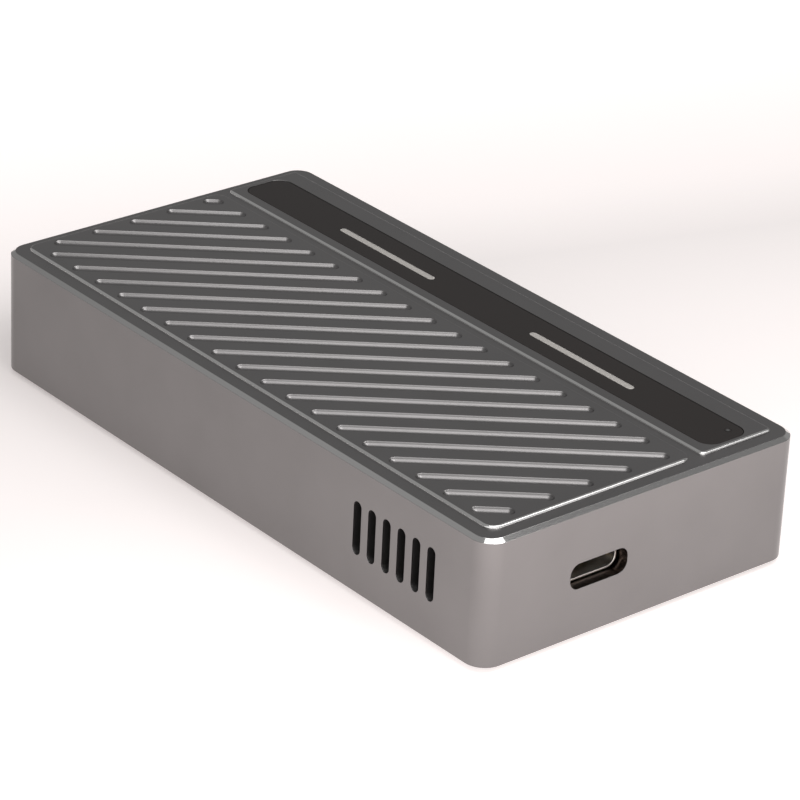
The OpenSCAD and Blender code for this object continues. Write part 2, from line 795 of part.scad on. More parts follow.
// drawn metal shell of the receptacle, open at the front
module usb_c_shell() {
    color("silver") lifted() translate([port_x, usb_front, port_z]) rotate([-90, 0, 0])
        difference() {
            linear_extrude(usb_l) round_rect(usb_w, usb_h, usb_r);
            translate([0, 0, -over]) linear_extrude(usb_l + 2 * over) usb_mouth();
        }
}

// insulator that fills the back of the shell and carries the tongue
module usb_c_tongue() {
    color("#161616") lifted() translate([port_x, usb_front + usb_l - tongue_base, port_z]) {
        rotate([-90, 0, 0]) linear_extrude(tongue_base) usb_mouth();
        translate([-tongue_w / 2, -tongue_l, -tongue_t / 2])
            cube([tongue_w, tongue_l + over, tongue_t]);
    }
}

module usb_c_contacts() {
    color("gold") lifted() translate([port_x, usb_front + usb_l - tongue_base, port_z])
        for (i = [0 : contact_count - 1], s = [-1, 1])
            translate([(i - (contact_count - 1) / 2) * contact_pitch - contact_w / 2,
                -tongue_l + contact_w, s > 0 ? tongue_t / 2 : -tongue_t / 2 - contact_t])
                cube([contact_w, tongue_l - contact_w, contact_t]);
}

// flat chip with a dimple that marks its first corner
module chip(w, l, h) {
    difference() {
        translate([-w / 2, -l / 2, 0]) cube([w, l, h]);
        translate([dimple_in - w / 2, dimple_in - l / 2, h - dimple_depth])
            cylinder(r = dimple_r, h = dimple_depth + over);
    }
}

module bridge_chip() {
    color("#222222") lifted() translate([bridge_x, bridge_y, board_top])
        chip(bridge_w, bridge_w, bridge_h);
}

module bridge_heat_pad() {
    color("lightsteelblue") lifted() translate([bridge_x - bridge_w / 2, bridge_y - bridge_w / 2,
        board_top + bridge_h]) cube([bridge_w, bridge_w, heat_pad_t]);
}

module firmware_chip() {
    color("#222222") lifted() translate([bridge_x, flash_y, board_top])
        chip(flash_w, flash_l, flash_h);
}

// moulded power inductor
module power_inductor(y) {
    color("#3a3a3a") lifted() translate([bridge_x, y, board_top])
        round_box(coil_w, coil_w, coil_h, coil_r);
}

module power_inductor_1() { power_inductor(coil_1_y); }

module power_inductor_2() { power_inductor(coil_2_y); }

module crystal() {
    color("silver") lifted() translate([bridge_x, crystal_y, board_top])
        round_box(crystal_w, crystal_l, crystal_h, crystal_r);
}

module capacitors() {
    color("tan") lifted() for (i = [0 : cap_count - 1])
        translate([bridge_x + (i - (cap_count - 1) / 2) * cap_step - cap_w / 2, cap_y, board_top])
            cube([cap_w, cap_l, cap_h]);
}

// open-topped box for the blower's plug
module fan_header() {
    color("ivory") lifted() translate([bridge_x - header_w / 2, header_y - header_l / 2, board_top])
        difference() {
            cube([header_w, header_l, header_h]);
            translate([header_wall, header_wall, header_wall])
                cube([header_w - 2 * header_wall, header_l - 2 * header_wall, header_h]);
        }
}

module fan_header_pins() {
    color("gold") lifted() for (i = [0 : header_pins - 1])
        translate([bridge_x + (i - (header_pins - 1) / 2) * pin_pitch - pin_w / 2,
            header_y - pin_w / 2, board_top + header_wall])
            cube([pin_w, pin_w, header_h - 2 * header_wall]);
}

// socket hanging from the board, its slot open towards the drive
module m2_socket() {
    color("#1a1a1a") lifted() difference() {
        translate([ssd_x - ssd_w / 2 - socket_wall, socket_front, board_bottom - socket_h])
            cube([ssd_w + 2 * socket_wall, socket_l, socket_h]);
        translate([ssd_x - ssd_w / 2 - socket_gap, ssd_front - socket_gap,
            ssd_bottom - socket_gap])
            cube([ssd_w + 2 * socket_gap, socket_l, ssd_t + 2 * socket_gap]);
    }
}

module m2_socket_tails() {
    color("gold") lifted() for (i = [0 : tail_count - 1])
        translate([ssd_x + (i - (tail_count - 1) / 2) * tail_pitch - tail_w / 2,
            socket_front - tail_l, board_bottom - tail_t]) cube([tail_w, tail_l, tail_t]);
}

// drive board with the half-round notch for its screw
module ssd_board() {
    color("#16281f") lifted() difference() {
        translate([ssd_x - ssd_w / 2, ssd_front, ssd_bottom]) cube([ssd_w, ssd_l, ssd_t]);
        translate([ssd_x, ssd_back, ssd_bottom - over])
            cylinder(r = ssd_notch_r, h = ssd_t + 2 * over);
    }
}

// chip under the drive's board
module ssd_chip(w, l, y) {
    color("#262626") lifted() translate([ssd_x, y, ssd_bottom]) mirror([0, 0, 1])
        chip(w, l, ssd_chip_t);
}

module ssd_controller() { ssd_chip(ctrl_w, ctrl_w, ctrl_y); }

module ssd_memory_1() { ssd_chip(nand_w, nand_l, nand_1_y); }

module ssd_memory_2() { ssd_chip(nand_w, nand_l, nand_2_y); }

module ssd_buffer_chip() { ssd_chip(dram_w, dram_l, dram_y); }

// soft pad between the drive's chips and the cover
module ssd_heat_pad() {
    color("lightsteelblue") lifted() translate([ssd_x - ssd_w / 2, heat_front, cover_t])
        cube([ssd_w, heat_back - heat_front, ssd_chip_bottom - cover_t]);
}

// standoff soldered into the main board: shank, flange, and a neck through the drive's notch
module ssd_standoff() {
    color("goldenrod") lifted() translate([ssd_x, ssd_back, 0]) difference() {
        union() {
            translate([0, 0, board_bottom]) cylinder(r = spacer_shank_r, h = board_t);
            translate([0, 0, ssd_top]) cylinder(r = standoff_r, h = ssd_air);
            translate([0, 0, ssd_bottom]) cylinder(r = ssd_notch_r - neck_gap, h = ssd_t);
        }
        translate([0, 0, ssd_bottom - over])
            cylinder(r = screw_r + screw_gap, h = ssd_t + ssd_air + over);
    }
}

module ssd_screw() {
    color("silver") lifted() translate([ssd_x, ssd_back, ssd_bottom])
        cylinder_head_screw(ssd_head_r, ssd_head_h, ssd_t + ssd_air - over);
}

// outline of the air space: a scroll that widens clockwise from the cut-off, then runs out to the left
function scroll_points() = concat(
    [for (a = [180 : -scroll_step : -90]) let (r = scroll_r + scroll_growth * (180 - a) / 90)
        [r * cos(a), r * sin(a)]],
    [[-blower_w / 2 - over, -scroll_r - 3 * scroll_growth], [-blower_w / 2 - over, 0]]);

// the case is open at the top; its base carries the tube for the bearing
module blower_case() {
    color("#1b1b1b") lifted() {
        translate([fan_x, fan_y, fan_z]) difference() {
            round_box(blower_w, blower_w, blower_h - blower_wall, blower_r);
            translate([0, 0, blower_wall]) linear_extrude(blower_h) polygon(scroll_points());
        }
        translate([fan_x, fan_y, fan_floor - blower_wall / 2]) difference() {
            cylinder(r = tube_r, h = bearing_top - fan_floor + blower_wall / 2);
            translate([0, 0, blower_wall / 2]) cylinder(r = bearing_r, h = blower_h);
        }
        for (e = ears) translate([e[0], e[1], fan_z]) rotate([0, 0, e[2]]) difference() {
            union() {
                cylinder(r = ear_r, h = ear_t);
                translate([-ear_out - over, -ear_r, 0]) cube([ear_out + over, 2 * ear_r, ear_t]);
            }
            translate([0, 0, -over]) cylinder(r = screw_r + screw_gap, h = ear_t + 2 * over);
        }
    }
}

module blower_lid() {
    color("#1b1b1b") lifted() translate([fan_x, fan_y, fan_lid]) difference() {
        round_box(blower_w, blower_w, blower_wall, blower_r);
        translate([0, 0, -over]) cylinder(r = inlet_r, h = blower_wall + 2 * over);
    }
}

// one side of a blade along +x: its tip leans clockwise, the way the wheel turns, and sticks out
// a little so that the wheel's radius cuts it to length
function blade_edge(side) = [for (i = [0 : blade_steps])
    let (share = i / blade_steps, r = blade_root + (blade_span + blade_t) * share,
        a = -blade_lean * pow(share, 2))
        [r * cos(a) - side * blade_t / 2 * sin(a), r * sin(a) + side * blade_t / 2 * cos(a)]];

function reversed(list) = [for (i = [len(list) - 1 : -1 : 0]) list[i]];

// impeller: cup-shaped hub, base ring and forward-leaning blades, all within the wheel radius
module blower_wheel() {
    color("#2b2b2b") lifted() translate([fan_x, fan_y, wheel_bottom]) {
        difference() {
            union() {
                cylinder(r = hub_r, h = wheel_top - wheel_bottom);
                cylinder(r = wheel_r, h = hub_t);
            }
            translate([0, 0, -over]) cylinder(r = hub_r - hub_t,
                h = wheel_top - wheel_bottom - hub_t + over);
            cylinder(r = shaft_r, h = wheel_top);
        }
        intersection() {
            difference() {
                cylinder(r = wheel_r, h = wheel_top - wheel_bottom - hub_t);
                translate([0, 0, -over]) cylinder(r = hub_r, h = wheel_top);
            }
            for (i = [0 : blade_count - 1]) rotate([0, 0, i * 360 / blade_count])
                translate([0, 0, hub_t / 2]) linear_extrude(wheel_top - wheel_bottom)
                    polygon(concat(blade_edge(-1), reversed(blade_edge(1))));
        }
    }
}

module wheel_magnet() {
    color("#4a4a4a") lifted() translate([fan_x, fan_y, wheel_bottom]) difference() {
        cylinder(r = hub_r - hub_t, h = wheel_top - wheel_bottom - 2 * hub_t);
        translate([0, 0, -over]) cylinder(r = hub_r - hub_t - magnet_t, h = wheel_top);
    }
}

module wheel_shaft() {
    color("silver") lifted() translate([fan_x, fan_y, shaft_bottom])
        cylinder(r = shaft_r, h = wheel_top - shaft_bottom);
}

module blower_bearing() {
    color("goldenrod") lifted() translate([fan_x, fan_y, fan_floor]) difference() {
        cylinder(r = bearing_r, h = bearing_top - fan_floor);
        translate([0, 0, -over]) cylinder(r = shaft_r + shaft_gap, h = blower_h);
    }
}

// four-armed core pressed onto the bearing tube, with curved shoes at the arm ends
module stator_core() {
    color("slategray") lifted() translate([fan_x, fan_y, core_z - core_t / 2]) difference() {
        union() {
            cylinder(r = core_ring_r, h = core_t);
            for (a = [0, 90]) rotate([0, 0, a]) translate([-shoe_inner_r - shoe_t / 2, -arm_w / 2, 0])
                cube([2 * shoe_inner_r + shoe_t, arm_w, core_t]);
            difference() {
                cylinder(r = stator_r, h = core_t);
                translate([0, 0, -over]) cylinder(r = shoe_inner_r, h = core_t + 2 * over);
                for (a = [45, 135]) rotate([0, 0, a]) translate([-hub_r, -shoe_slot / 2, -over])
                    cube([2 * hub_r, shoe_slot, core_t + 2 * over]);
            }
        }
        translate([0, 0, -over]) cylinder(r = tube_r, h = core_t + 2 * over);
    }
}

// windings round the arms, their outer corners just inside the shoes
module stator_windings() {
    color("peru") lifted() translate([fan_x, fan_y, core_z]) for (a = [0 : 90 : 270])
        rotate([0, 0, a]) difference() {
            translate([winding_inner, -winding_half, -core_t / 2 - winding_t])
                cube([winding_outer - winding_inner, 2 * winding_half, core_t + 2 * winding_t]);
            translate([0, -arm_w / 2, -core_t / 2]) cube([stator_r, arm_w, core_t]);
        }
}

// threaded spacers soldered into the board under the blower's ears
module blower_spacers() {
    color("goldenrod") lifted() for (e = ears) translate([e[0], e[1], 0]) difference() {
        union() {
            translate([0, 0, board_bottom]) cylinder(r = spacer_shank_r, h = board_t);
            translate([0, 0, board_top]) cylinder(r = ear_r, h = spacer_h);
        }
        translate([0, 0, board_bottom - over])
            cylinder(r = screw_r + screw_gap, h = board_t + spacer_h + 2 * over);
    }
}

module blower_screws() {
    color("silver") lifted() for (e = ears) translate([e[0], e[1], fan_z + ear_t])
        mirror([0, 0, 1]) cylinder_head_screw(head_r, head_h, ear_t + spacer_h);
}

top_shell();
inlay_strip();
bottom_cover();
cover_screws();
foot_front_left();
foot_front_right();
foot_back_left();
foot_back_right();
light_guide();
status_led();
main_board();
board_screws();
usb_c_shell();
usb_c_tongue();
usb_c_contacts();
bridge_chip();
bridge_heat_pad();
firmware_chip();
power_inductor_1();
power_inductor_2();
crystal();
capacitors();
fan_header();
fan_header_pins();
m2_socket();
m2_socket_tails();
ssd_board();
ssd_controller();
ssd_memory_1();
ssd_memory_2();
ssd_buffer_chip();
ssd_heat_pad();
ssd_standoff();
ssd_screw();
blower_case();
blower_lid();
blower_wheel();
wheel_magnet();
wheel_shaft();
blower_bearing();
stator_core();
stator_windings();
blower_spacers();
blower_screws();
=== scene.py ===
import bmesh
import bpy
import json
import math
import numpy as np
from mathutils import Matrix, Vector


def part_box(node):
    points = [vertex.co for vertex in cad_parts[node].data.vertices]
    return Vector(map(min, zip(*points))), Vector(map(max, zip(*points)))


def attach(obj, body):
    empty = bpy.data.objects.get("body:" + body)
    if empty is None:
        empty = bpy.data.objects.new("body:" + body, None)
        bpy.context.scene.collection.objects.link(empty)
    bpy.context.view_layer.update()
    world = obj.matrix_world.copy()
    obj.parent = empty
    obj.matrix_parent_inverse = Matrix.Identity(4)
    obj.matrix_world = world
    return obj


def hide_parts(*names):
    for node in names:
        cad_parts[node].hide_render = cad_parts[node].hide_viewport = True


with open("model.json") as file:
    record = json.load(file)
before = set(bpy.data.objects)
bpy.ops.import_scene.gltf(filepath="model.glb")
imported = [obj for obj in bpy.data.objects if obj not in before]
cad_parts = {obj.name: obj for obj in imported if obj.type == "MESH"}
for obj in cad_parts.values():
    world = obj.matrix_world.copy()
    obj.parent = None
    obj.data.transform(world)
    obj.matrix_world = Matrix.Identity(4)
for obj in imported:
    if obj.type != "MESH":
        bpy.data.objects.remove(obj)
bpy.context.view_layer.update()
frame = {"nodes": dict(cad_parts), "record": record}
mm = 0.001
print("frame loaded:", len(frame["nodes"]), "nodes")


# Shader maths: a Wire is one output of a shader node, and the operators on it add Math nodes

def mathOperator(operation, reflected=False):
    # a reflected operator has the plain number on its left, as in 1 - mask
    def apply(self, other):
        first, second = (other, self) if reflected else (self, other)
        return self.make("Math", {"operation": operation}, {0: first, 1: second})
    return apply


class Wire:
    __add__ = mathOperator("ADD")
    __radd__ = mathOperator("ADD", reflected=True)
    __sub__ = mathOperator("SUBTRACT")
    __rsub__ = mathOperator("SUBTRACT", reflected=True)
    __mul__ = mathOperator("MULTIPLY")
    __rmul__ = mathOperator("MULTIPLY", reflected=True)
    __truediv__ = mathOperator("DIVIDE")
    __pow__ = mathOperator("POWER")
    larger = mathOperator("MAXIMUM")

    def __init__(self, tree, socket=None):
        self.tree, self.socket = tree, socket

    def make(self, kind, settings=None, sockets=None, out=0):
        node = self.tree.nodes.new("ShaderNode" + kind)
        for key, value in (settings or {}).items():
            if key == "stops":  # a colour ramp's places and greys
                ramp = node.color_ramp.elements
                while len(ramp) < len(value):
                    ramp.new(0.5)
                for stop, (place, grey) in zip(ramp, value):
                    stop.position = place
                    stop.color = (grey, grey, grey, 1)
            else:
                setattr(node, key, value)
        for key, value in (sockets or {}).items():
            if isinstance(value, Wire):
                self.tree.links.new(value.socket, node.inputs[key])
            else:
                node.inputs[key].default_value = value
        return Wire(self.tree, node.outputs[out])

    def __abs__(self):
        return self.make("Math", {"operation": "ABSOLUTE"}, {0: self})

    def axes(self, names="XYZ"):
        return [self.make("SeparateXYZ", {}, {0: self}, out=name) for name in names]

    def noise(self, size, detail=3.0, rough=0.5, stretch=(1, 1, 1)):  # size of the blotches in metres
        spread = self.make("Mapping", {"vector_type": "POINT"}, {"Vector": self, "Scale": stretch})
        return self.make("TexNoise", {}, {"Vector": spread, "Scale": 1 / size, "Detail": detail,
                                          "Roughness": rough}, out="Fac")

    def bands(self, across, scale, waver):  # even bands, one behind the other along one axis
        return self.make("TexWave", {"wave_type": "BANDS", "bands_direction": across},
                         {"Vector": self, "Scale": scale, "Distortion": waver}, out="Fac")

    def between(self, low, high):  # 0 at low and before it, 1 at high and past it
        return self.make("MapRange", {"clamp": True}, {"Value": self, "From Min": low, "From Max": high})

    def above(self, level, ramp=0.02 * mm):  # 1 where the value is over the level
        return self.between(level - ramp, level + ramp)

    def within(self, span):
        return self.above(span[0]) * (1 - self.above(span[1]))

    def around(self, middle, spread):  # a value of 0 to 1 is moved to the middle and scaled
        return middle + (self - 0.5) * spread

    def blend(self, dark, light):  # mixes two colours by this value
        dark, light = (c if isinstance(c, Wire) else (*c, 1) for c in (dark, light))
        return self.make("Mix", {"data_type": "RGBA"}, {"Factor": self, 6: dark, 7: light}, out=2)

    def bump(self, height, under=None):  # height in metres
        sockets = {"Height": self, "Distance": height, "Strength": 1.0}
        if under:
            sockets["Normal"] = under
        return self.make("Bump", {}, sockets)


def newMaterial(name, recipe, **fixed):
    # recipe(object coordinates) gives the sockets that vary, fixed gives the others
    material = bpy.data.materials.new(name)
    material.use_nodes = True
    tree = material.node_tree
    tree.nodes.clear()
    start = Wire(tree)
    sockets = {key.replace("_", " "): value for key, value in fixed.items()}
    sockets.update(recipe(start.make("TexCoord", out="Object")))
    shader = start.make("BsdfPrincipled", {}, sockets)
    output = tree.nodes.new("ShaderNodeOutputMaterial")
    tree.links.new(shader.socket, output.inputs["Surface"])
    return material


# Places on the shell, from the frame

(leftX, frontY, baseZ), (rightX, backY, padTopZ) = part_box("top_shell")
(portLeft, _, portLow), (portRight, _, portHigh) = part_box("usb_c_shell")
rimZ = padTopZ - 0.32 * mm


# Blasted and anodised metal of the shell, where it is cut bright or rougher, and where painted shade makes
# it darker

anodised = {
    "dark": (0.208, 0.200, 0.199), "light": (0.234, 0.225, 0.224),
    "roughness": 0.30, "grainSpread": 0.10, "cloudSpread": 0.04,
    "grain": {"size": 0.07 * mm, "detail": 2.0, "rough": 0.6}, "grainHeight": 0.0011 * mm,
    "cloud": {"size": 9 * mm, "detail": 2.0}, "cloudShare": 0.65, "contrast": (0.25, 0.75),
    # the cuts: bevel round the top, and the near and left edges of the pads
    "cutMetal": (0.70, 0.69, 0.68), "bevelRoughness": 0.10, "edgeRoughness": 0.17,
    "chatter": {"size": 0.22 * mm, "detail": 2.0, "rough": 0.6}, "chatterHeight": 0.007 * mm,
    "bevelX": rightX - 1.7 * mm, "bevelY": backY - 1.8 * mm,
    "bevelZ": (rimZ - 0.436 * mm, rimZ - 0.02 * mm),
    # painted shade on the bevel: darker at the far end, where less light falls, full from a third of the
    # way in from the front
    "paintedBevelShade": (0.78, 1.0), "paintedShadeY": (backY - 8 * mm, frontY + 30 * mm),
    # near left corner of each pad's flat top, radius of that corner, and the pad's reach in x
    "edgeZ": rimZ + 0.03 * mm,
    "pads": [((leftX + 2.92 * mm, frontY + 2.87 * mm), 1.38 * mm, (leftX - 3.7 * mm, leftX + 36 * mm)),
             ((leftX + 38.02 * mm, frontY + 2.87 * mm), 0.38 * mm,
              (leftX + 37.5 * mm, leftX + 49.6 * mm))],
    # the opening in the front wall: painted shade, darker and browner than the faces, for the shade inside
    # the tunnel
    "openingPaintedShade": (0.105, 0.080, 0.068),
    "opening": [(portLeft - 1.03 * mm, portRight + 1.03 * mm), (frontY + 0.07 * mm, frontY + 3 * mm),
                (portLow - 0.62 * mm, portHigh + 0.62 * mm)],
    # painted shade: a fine dark band along the walls of the grooves, standing in for the darker steep part
    # of the wall
    "paintedGrooveShade": 0.62,
    "line": [(leftX + 3.1 * mm, leftX + 35.8 * mm), (frontY + 3 * mm, backY - 2.3 * mm),
             (padTopZ - 0.198 * mm, padTopZ - 0.152 * mm)],
    # the walls of the vents keep a rough skin
    "ventRoughness": 0.41,
    "vents": [(leftX + 0.06 * mm, leftX + 2.1 * mm), (frontY + 8 * mm, frontY + 27 * mm),
              (baseZ + 1.1 * mm, rimZ - 2.6 * mm)],
}


def insideBox(axes, box):
    x, y, z = (axis.within(span) for axis, span in zip(axes, box))
    return x * y * z


def outsideCorner(x, y, corner, radius):
    # 1 to the left of or in front of a flat top whose near left corner is round: how far the point
    # lies beyond the corner's centre, held against the corner's radius
    beyondX = (corner[0] + radius - x).larger(0.0)
    beyondY = (corner[1] + radius - y).larger(0.0)
    return ((beyondX * beyondX + beyondY * beyondY) ** 0.5).above(radius)


def bevelMask(x, y, z):
    outer = abs(x).above(anodised["bevelX"]) + abs(y).above(anodised["bevelY"])
    return outer.between(0.0, 1.0) * z.within(anodised["bevelZ"])


def padEdgeMask(x, y, z):
    edges = sum(outsideCorner(x, y, corner, radius) * x.within(reach)
                for corner, radius, reach in anodised["pads"])
    return edges * z.above(anodised["edgeZ"])


def anodisedRecipe(at):
    grain, cloud = at.noise(**anodised["grain"]), at.noise(**anodised["cloud"])
    chatter = at.noise(**anodised["chatter"])
    x, y, z = at.axes()
    bevel, edge = bevelMask(x, y, z), padEdgeMask(x, y, z)
    opening, line, vents = (insideBox((x, y, z), anodised[key]) for key in ("opening", "line", "vents"))
    cut = (bevel + edge).between(0.0, 1.0)

    mottled = cloud * anodised["cloudShare"] + grain * (1 - anodised["cloudShare"])
    face = mottled.between(*anodised["contrast"]).blend(anodised["dark"], anodised["light"])
    # painted shade inside the opening
    face = opening.blend(face, anodised["openingPaintedShade"])
    # painted shade along the groove walls
    face = (line * (1 - anodised["paintedGrooveShade"])).blend(face, (0, 0, 0))
    # painted shade on the bevel, darker towards the far end
    far, near = anodised["paintedBevelShade"]
    shade = 1 - bevel * (1 - (far + y.between(*anodised["paintedShadeY"]) * (near - far)))
    metal = shade.blend((0, 0, 0), anodised["cutMetal"])

    blasted = grain.around(anodised["roughness"], anodised["grainSpread"])
    blasted = blasted + cloud.around(0.0, anodised["cloudSpread"])
    blasted = blasted + (anodised["ventRoughness"] - blasted) * vents
    polished = (anodised["edgeRoughness"] - blasted) * edge + (anodised["bevelRoughness"] - blasted) * bevel
    skin = (grain * (1 - cut)).bump(anodised["grainHeight"])
    return {"Base Color": cut.blend(face, metal), "Roughness": blasted + polished,
            "Normal": (chatter * edge).bump(anodised["chatterHeight"], under=skin)}


# Window of the status light: smoked plastic, dark like the strip, with a paler middle over the lamp

smoked = {"fade": (0.10 * mm, 0.34 * mm), "middle": (0.085, 0.085, 0.085),
          "rim": (0.0145, 0.0115, 0.0100), "cloud": {"size": 0.4 * mm}, "roughness": (0.38, 0.08)}


def smokedRecipe(at):
    low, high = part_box("light_guide")
    x, y = at.axes("XY")
    offX, offY = x - (low[0] + high[0]) / 2, y - (low[1] + high[1]) / 2
    away = (offX * offX + offY * offY) ** 0.5
    return {"Base Color": away.between(*smoked["fade"]).blend(smoked["middle"], smoked["rim"]),
            "Roughness": at.noise(**smoked["cloud"]).around(*smoked["roughness"])}


# Solder mask: a slight weave from the glass cloth beneath

solderMask = {"dark": (0.008, 0.028, 0.018), "light": (0.014, 0.040, 0.026), "cloud": {"size": 6 * mm},
              "roughness": (0.36, 0.1), "weave": {"scale": 700.0, "waver": 0.6}, "height": 0.004 * mm}


def solderMaskRecipe(at):
    cloud = at.noise(**solderMask["cloud"])
    weave = at.bands("X", **solderMask["weave"]) + at.bands("Y", **solderMask["weave"])
    return {"Base Color": cloud.blend(solderMask["dark"], solderMask["light"]),
            "Roughness": cloud.around(*solderMask["roughness"]),
            "Normal": weave.bump(solderMask["height"])}


# Even skins: two colours, the roughness with its spread, and how high the grain stands

def evenSkin(look):
    # the grain, or the bands of wound wire and stacked sheets, moves the roughness and gives the
    # relief; the cloud, or else the grain, mixes the two colours
    def recipe(at):
        grain = at.bands(**look["bands"]) if "bands" in look else at.noise(**look["grain"])
        cloud = at.noise(**look["cloud"]) if "cloud" in look else grain
        sockets = {"Base Color": cloud.blend(look["dark"], look["light"]),
                   "Roughness": grain.around(*look["roughness"])}
        if "height" in look:
            sockets["Normal"] = grain.bump(look["height"])
        return sockets
    return recipe


satinBlack = {"dark": (0.0132, 0.0098, 0.0086), "light": (0.0162, 0.0122, 0.0108),
              "cloud": {"size": 14 * mm, "detail": 2.0}, "roughness": (0.38, 0.08),
              "grain": {"size": 0.05 * mm, "detail": 2.0, "rough": 0.6}, "height": 0.0008 * mm}
silverInk = {"dark": (0.46, 0.435, 0.41), "light": (0.56, 0.53, 0.50), "roughness": (0.42, 0.12),
             "grain": {"size": 0.06 * mm, "detail": 2.0, "rough": 0.7}, "height": 0.0015 * mm}
platedSteel = {"dark": (0.50, 0.50, 0.50), "light": (0.60, 0.60, 0.59), "cloud": {"size": 0.8 * mm},
               "roughness": (0.31, 0.14), "height": 0.001 * mm,
               "grain": {"size": 0.06 * mm, "rough": 0.6, "stretch": (1, 1, 12)}}
drawnSteel = {"dark": (0.74, 0.71, 0.67), "light": (0.84, 0.81, 0.77), "roughness": (0.31, 0.10),
              "grain": {"size": 0.5 * mm}}
rubber = {"dark": (0.018, 0.018, 0.018), "light": (0.032, 0.032, 0.031), "roughness": (0.68, 0.2),
          "grain": {"size": 0.12 * mm, "detail": 4.0, "rough": 0.65}, "height": 0.01 * mm}
epoxy = {"dark": (0.018, 0.018, 0.020), "light": (0.034, 0.034, 0.036), "roughness": (0.55, 0.2),
         "grain": {"size": 0.09 * mm, "detail": 4.0, "rough": 0.7}, "height": 0.006 * mm}
blackPlastic = {"dark": (0.012, 0.012, 0.013), "light": (0.024, 0.024, 0.025),
                "roughness": (0.50, 0.16), "height": 0.006 * mm,
                "grain": {"size": 0.2 * mm, "detail": 4.0, "rough": 0.6}}
silicone = {"dark": (0.30, 0.40, 0.52), "light": (0.42, 0.52, 0.62), "roughness": (0.72, 0.2),
            "grain": {"size": 0.3 * mm, "detail": 4.0, "rough": 0.6}, "height": 0.02 * mm}
goldPlate = {"dark": (0.86, 0.62, 0.26), "light": (0.95, 0.72, 0.36), "roughness": (0.26, 0.12),
             "grain": {"size": 0.15 * mm}}
turnedBrass = {"dark": (0.62, 0.45, 0.20), "light": (0.74, 0.56, 0.28), "roughness": (0.32, 0.12),
               "grain": {"size": 0.08 * mm, "detail": 2.0, "stretch": (1, 1, 9)}, "height": 0.002 * mm}
copperWire = {"dark": (0.42, 0.15, 0.06), "light": (0.78, 0.36, 0.18), "roughness": (0.35, 0.1),
              "bands": {"across": "Z", "scale": 900.0, "waver": 1.5}, "height": 0.05 * mm}
ferrite = {"dark": (0.045, 0.045, 0.048), "light": (0.085, 0.085, 0.088), "roughness": (0.58, 0.2),
           "grain": {"size": 0.11 * mm, "detail": 4.0, "rough": 0.7}, "height": 0.008 * mm}
stackedSheets = {"dark": (0.20, 0.21, 0.23), "light": (0.42, 0.43, 0.45), "roughness": (0.39, 0.1),
                 "bands": {"across": "Z", "scale": 1100.0, "waver": 0.1}, "height": 0.03 * mm}
nylon = {"dark": (0.72, 0.68, 0.58), "light": (0.82, 0.79, 0.70), "roughness": (0.46, 0.1),
         "grain": {"size": 0.5 * mm}, "height": 0.008 * mm}
ceramic = {"dark": (0.36, 0.24, 0.13), "light": (0.46, 0.33, 0.20), "roughness": (0.50, 0.2),
           "grain": {"size": 0.1 * mm}, "height": 0.006 * mm}

finishes = {
    "shell": newMaterial("anodisedGrey", anodisedRecipe, Metallic=1.0),
    "strip": newMaterial("satinBlack", evenSkin(satinBlack), IOR=1.46, Specular_IOR_Level=0.32),
    "silver": newMaterial("silverInk", evenSkin(silverInk), Metallic=0.3),
    "rubber": newMaterial("footRubber", evenSkin(rubber), IOR=1.5),
    "steel": newMaterial("platedSteel", evenSkin(platedSteel), Metallic=1.0),
    "light": newMaterial("smokedGuide", smokedRecipe, IOR=1.46, Specular_IOR_Level=0.32),
    "led": newMaterial("ledBody", evenSkin(nylon), IOR=1.5),
    "board": newMaterial("solderMask", solderMaskRecipe, IOR=1.5),
    "receptacle": newMaterial("drawnSteel", evenSkin(drawnSteel), Metallic=1.0),
    "tongue": newMaterial("tonguePlastic", evenSkin(blackPlastic), IOR=1.5),
    "contacts": newMaterial("goldPlate", evenSkin(goldPlate), Metallic=1.0),
    "chip": newMaterial("chipEpoxy", evenSkin(epoxy), IOR=1.5),
    "heat_pad": newMaterial("siliconePad", evenSkin(silicone), IOR=1.42),
    "inductor": newMaterial("ironPowder", evenSkin(ferrite), Metallic=0.3),
    "crystal_can": newMaterial("crystalCan", evenSkin(platedSteel), Metallic=1.0),
    "ceramic": newMaterial("firedCeramic", evenSkin(ceramic), IOR=1.6),
    "nylon": newMaterial("naturalNylon", evenSkin(nylon), IOR=1.5),
    "socket": newMaterial("socketPlastic", evenSkin(blackPlastic), IOR=1.5),
    "brass": newMaterial("turnedBrass", evenSkin(turnedBrass), Metallic=1.0),
    "blower_plastic": newMaterial("blowerPlastic", evenSkin(blackPlastic), IOR=1.5),
    "magnet": newMaterial("boundFerrite", evenSkin(ferrite), Metallic=0.2),
    "core": newMaterial("stackedCore", evenSkin(stackedSheets), Metallic=1.0),
    "copper": newMaterial("copperWire", evenSkin(copperWire), Metallic=0.9),
}

for part in frame["record"]["subparts"]:
    node = frame["nodes"][part["node"]]
    node.data.materials.clear()
    node.data.materials.append(finishes[part["material_slot"]])


# Pieces that stand for CAD nodes, or lie on them

def addPiece(name, mesh, finish, nodes=()):
    piece = bpy.data.objects.new(name, mesh)
    bpy.context.scene.collection.objects.link(piece)
    mesh.materials.clear()
    mesh.materials.append(finishes[finish])
    for polygon in mesh.polygons:
        polygon.use_smooth = True
    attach(piece, "case")
    if nodes:
        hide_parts(*nodes)
    return piece


# Copies with softened edges: corners within mergeWithin are one, faces that turn less than flatTurn
# degrees are one face, and faceWeight keeps flat faces flat beside the rounding

softening = {"mergeWithin": 0.0005 * mm, "flatTurn": 0.2, "faceWeight": 90}
shellEdges = {"round": 0.06 * mm, "steps": 2, "sharpTurn": 28,
              # the bevel round the top stays crisp: its heights, and how far out it begins
              "crispZ": (rimZ - 0.55 * mm, rimZ + 0.02 * mm),
              "crispX": rightX - 1.8 * mm, "crispY": backY - 1.5 * mm}
stripEdges = {"round": 0.06 * mm, "steps": 2, "sharpTurn": 28}
portEdges = {"round": 0.09 * mm, "steps": 3, "sharpTurn": 40}


